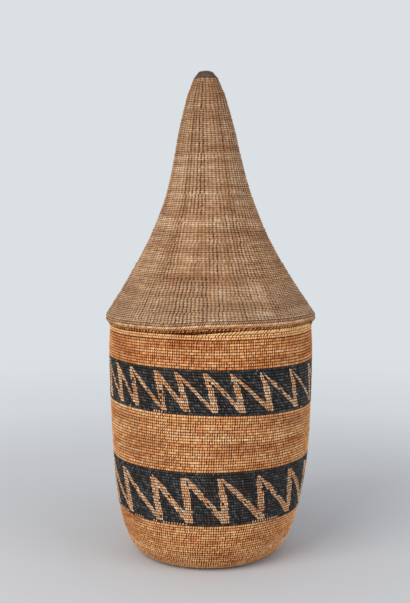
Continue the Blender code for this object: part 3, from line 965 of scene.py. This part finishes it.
# The lid's edge: three rows round a thick coil. The lowest two are clean tan, the lowest of them a
# little darker as painted shade where it faces down, and dust begins on the third.
EDGE_PITCH = 0.0019
EDGE_STRIP = 0.0015
EDGE_LEAN = 1.0
# Tones of the rows from below: the first is lower than the second, painted shade on its underside.
EDGE_TONES = (0.65, 0.80, 0.18)
# The edge's outline from the seat up, each point as metres outwards and upwards from the solid's lower
# outer corner
EDGE_PATH = (
    (-0.0018, -0.0002), (-0.0005, 0.0004), (0.00015, 0.0016), (0.0002, 0.0029), (0.00015, 0.0040),
    (0.0, 0.0048),
)
# In front and behind, the edge's strips are tan; towards the sides they go grey brown.
FRONT_BACK_FADE = (0.30, 0.60)
SIDE_TONE = 0.16
# Tan leaf: its tones run from matt grey brown, as on the dusty row, to fresh tan, and its gaps hold
# painted shade.
edge_leaf = fibre(
    "tan_leaf_dusty_above",
    [(0.0, "#957657"), (0.35, "#C2A07C"), (0.55, "#E89E66"), (1.0, "#FFDEB0")],
    stain="#B06C3E", pale="#F0C49C", gap="#5C2C10", stains=0.3, pales=0.3,
)
random = np.random.default_rng(43)
low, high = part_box("lid_edge_coil")
edge_radius = high.x
edge_path, edge_lengths = along_wall([(edge_radius + x, low.z + z) for x, z in EDGE_PATH])
rows, pitch = rows_between(edge_path, 0.0, edge_lengths[-1], EDGE_PITCH)
rings = []
for (point, normal), tone in zip(rows, EDGE_TONES):
    borders = even_borders(strip_count(point[0], EDGE_STRIP), random.random(), EDGE_LEAN)
    front_back = eased(abs(np.sin(borders[0][:-1])), *FRONT_BACK_FADE)
    tones = SIDE_TONE + (tone - SIDE_TONE) * front_back
    rings.append(sewn_ring(point, normal, pitch, WALL_COIL, borders, random, tones=tones,
                           shape=lid_shaped))
edge = joined("lid_edge_coil_strips", rings)
finish(edge, edge_leaf, "lid", "lid_edge_coil")


# The cone: very fine rows, 1.3 mm high, under strips 2.6 mm wide that stand in line and make ribs.
# It is the part that dust settles on, so its strips are greyed, most of all on the flat skirt.
LID_PITCH = 0.0013
LID_RIB = 0.0026
LID_ANCHORS = 16
LID_LEAN = 0.1
RIBS = 0.45
ROW_UNEVEN = 0.00010
# Stages of the cone from below: radius at the top of each, and its height
SKIRT = (0.0578, 0.0251)
HIP = (0.0432, 0.0256)
WAIST = (0.0309, 0.0297)
SPIRE = (0.0246, 0.0240)
NECK = (0.0197, 0.0235)
BROW = (0.0139, 0.0220)
CROWN = (0.0089, 0.0133)
# The cone is made in three pieces, to keep each small enough. The upper two begin with these rows.
HIP_ROW = 27
SPIRE_ROW = 62
SKIRT_GAP = 0.00038
SPIRE_GAP = 0.00060
# The fine coil's section, in the same terms as the wall coil's
RIB_COIL = (
    (-0.53, 0.00032, 1.0, 0.6, -0.5),
    (-0.20, 0.00003, 0.0, 1.0, -0.20),
    (0.20, 0.00003, 0.0, 1.0, 0.20),
    (0.53, 0.00032, 1.0, 0.6, 0.5),
    (0.34, WALL, 0.3, -0.6, 0.5),
    (-0.34, WALL, 0.3, -0.6, -0.5),
)
# Tan leaf under the dust and smoke of years: quite matt and greyed, brown in stains and towards the
# top, with worn pale patches and dark painted shade in the gaps, which draws the ribs.
dusty_leaf = fibre(
    "dusty_aged_leaf",
    [(0.0, "#9C6C46"), (0.5, "#D4A277"), (1.0, "#F8D4AE")],
    stain="#9C6642", pale="#E8C6A4", gap="#381C0E", stains=0.5, pales=0.25, dust="#BAA88E",
    dusts=(0.0, 0.40), roughness=0.9, gloss=0.05,
)
radii = [edge_radius]
heights = [0.0]
for radius, rise in (SKIRT, HIP, WAIST, SPIRE, NECK, BROW, CROWN):
    radii.append(radius)
    heights.append(heights[-1] + rise)
top = len(radii) - 1
slopes = []
for stage in range(top + 1):
    above = min(stage + 1, top)
    below = max(stage - 1, 0)
    slopes.append((radii[above] - radii[below]) / (heights[above] - heights[below]))
cone_path = []
for stage in range(top):
    third = (heights[stage + 1] - heights[stage]) / 3
    cone_path.append(curve(
        (radii[stage], heights[stage]),
        (radii[stage] + slopes[stage] * third, heights[stage] + third),
        (radii[stage + 1] - slopes[stage + 1] * third, heights[stage + 1] - third),
        (radii[stage + 1], heights[stage + 1]),
    )[int(stage > 0):])
cone_path = np.concatenate(cone_path)
low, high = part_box("lid_cone")
cone_path[:, 1] += high.z - heights[-1]
cone_path, cone_lengths = along_wall(cone_path)
rows, pitch = rows_between(cone_path, 0.0, cone_lengths[-1], LID_PITCH)
for name, first, last, rib_gap, wander, seed in (
    ("cone_skirt_rows", 0, HIP_ROW, SKIRT_GAP, 0.05, 51),
    ("cone_hip_rows", HIP_ROW, SPIRE_ROW, SPIRE_GAP, 0.04, 52),
    ("cone_spire_rows", SPIRE_ROW, len(rows), SPIRE_GAP, 0.02, 53),
):
    rings = sewn_rows(rows[first:last], pitch, RIB_COIL, seed, LID_LEAN, rib_gap, LID_RIB, LID_ANCHORS,
                      drift=0.0, wander=wander, offset=ROW_UNEVEN, shape=lid_shaped, ribs=RIBS)
    piece = joined(name, rings)
    finish(piece, dusty_leaf, "lid", "lid_cone")


# The tip: the last coils of the cone, bound over with dark cord into a small flat cap. A plug of the
# same fibre closes it in the middle.
CAP_PITCH = 0.0011
# Radius of the cap's flat top, the rounding of its edge, and how far it is below the solid's top
CAP_FLAT = 0.0047
CAP_EDGE = 0.0009
CAP_SUNK = 0.0011
CAP_GAP = 0.0003
CAP_STRIP = 0.0016
CAP_ANCHORS = 4
CAP_LEAN = 0.8
CAP_DRIFT = 0.3
PLUG = 0.0014
# Cord of plant fibre, wound tight and smoked: dark brown and matt, with a little fuzz and dust, and
# painted shade in its gaps.
dark_binding = fibre(
    "dark_bound_fibre",
    [(0.0, "#463226"), (0.5, "#6F5747"), (1.0, "#A08878")],
    stain="#43301F", pale="#8A776A", gap="#1E140D", dust="#86746A", roughness=0.85, fuzz=0.1,
)
low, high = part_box("tip_cap")
cap_top = high.z - CAP_SUNK
cap_path = [
    cone_path[-1], (CAP_FLAT + CAP_EDGE / 2, cap_top - CAP_EDGE), (CAP_FLAT, cap_top - CAP_EDGE / 2),
    (PLUG / 2, cap_top),
]
cap_path, cap_lengths = along_wall(cap_path)
rows, pitch = rows_between(cap_path, 0.0, cap_lengths[-1], CAP_PITCH)
rings = sewn_rows(rows, pitch, RIB_COIL, seed=61, lean=CAP_LEAN, gap_depth=CAP_GAP, width=CAP_STRIP,
                  anchors=CAP_ANCHORS, drift=CAP_DRIFT)
rings.append(heart(PLUG, 1.0, (AXIS_SHIFTS[-1], 0, cap_top - PLUG)))
tip = joined("tip_binding", rings)
finish(tip, dark_binding, "lid", "tip_cap")


# The table top that the basket stands on: a wide round board, painted matt white, that fades into the
# plain pale backdrop away from the basket.
TABLE_RADIUS = 6.0
TABLE_SIDES = 96
BOARD = "#C5C6C9"
BOARD_ROUGHNESS = 0.9
BACKDROP = "#DBE0E4"
# How much of the backdrop's colour there is at a distance from the basket, in metres
FADE = ((0.10, 0.0), (0.30, 0.25), (0.50, 0.72), (0.80, 0.97), (1.0, 1.0))
bpy.ops.object.select_all(action="DESELECT")
bpy.ops.mesh.primitive_circle_add(vertices=TABLE_SIDES, radius=TABLE_RADIUS, fill_type="NGON")
table = bpy.context.object
table.name = "table_top"
# Board with a matt coat of paint: an even pale grey that takes the basket's soft shadow without gloss.
painted = bpy.data.materials.new("matt_white_board")
painted.use_nodes = True
tree = painted.node_tree
shader = tree.nodes["Principled BSDF"]
shader.inputs["Base Color"].default_value = linear(BOARD)
shader.inputs["Roughness"].default_value = BOARD_ROUGHNESS
place = add(tree, "ShaderNodeTexCoord").outputs["Object"]
distance = add(tree, "ShaderNodeVectorMath", [(0, place)], operation="LENGTH").outputs["Value"]
far = add(tree, "ShaderNodeEmission", Color=linear(BACKDROP), Strength=1.0)
faded = ramp(tree, distance, FADE)
blend = add(tree, "ShaderNodeMixShader", [(0, faded), (1, shader.outputs[0]), (2, far.outputs[0])])
tree.links.new(blend.outputs[0], tree.nodes["Material Output"].inputs["Surface"])
table.data.materials.append(painted)


# The studio: a soft white room that lights the basket all round, and is seen only as the backdrop's
# pale grey. One large lamp stands in front at the left, and a weaker one at the right.
ROOM = "#F4F6FA"
ROOM_STRENGTH = 0.60
LAMP_AIM = (0, 0, 0.15)
# Each lamp: its name, its place, the size of its square, its power in watts and its colour
LAMPS = (
    ("key", (-0.75, -0.88, 0.92), 0.85, 13.6, "#FFFDF8"),
    ("fill", (0.95, -0.75, 0.7), 0.8, 5.0, "#F8FAFF"),
)
world = bpy.data.worlds.new("studio")
bpy.context.scene.world = world
world.use_nodes = True
tree = world.node_tree
rays = add(tree, "ShaderNodeLightPath").outputs
seen = add(tree, "ShaderNodeMath", [(0, rays["Is Camera Ray"]), (1, rays["Is Glossy Ray"])],
           operation="MAXIMUM")
soft = tree.nodes["Background"]
soft.inputs["Color"].default_value = linear(ROOM)
soft.inputs["Strength"].default_value = ROOM_STRENGTH
shown = add(tree, "ShaderNodeBackground", Color=linear(BACKDROP), Strength=1.0)
both = add(tree, "ShaderNodeMixShader",
           [(0, seen.outputs[0]), (1, soft.outputs[0]), (2, shown.outputs[0])])
tree.links.new(both.outputs[0], tree.nodes["World Output"].inputs["Surface"])
for name, location, size, power, code in LAMPS:
    bpy.ops.object.light_add(type="AREA", location=location)
    light = bpy.context.object
    light.name = name
    light.data.size = size
    light.data.energy = power
    light.data.color = linear(code)[:3]
    direction = Vector(LAMP_AIM) - Vector(location)
    light.rotation_euler = direction.to_track_quat("-Z", "Y").to_euler()


# The camera stands 72 cm in front of the basket, a little above its middle, and looks slightly down.
# Its lens and sensor are in millimetres.
CAMERA_PLACE = (-0.0031, -0.7231, 0.2538)
CAMERA_PITCH = math.radians(5.93)
CAMERA_LENS = 61.2
CAMERA_SENSOR = 36
bpy.ops.object.camera_add(location=CAMERA_PLACE, rotation=(math.pi / 2 - CAMERA_PITCH, 0, 0))
camera = bpy.context.object
camera.data.lens = CAMERA_LENS
camera.data.sensor_width = CAMERA_SENSOR
bpy.context.scene.camera = camera
bpy.context.scene.view_settings.view_transform = "Standard"
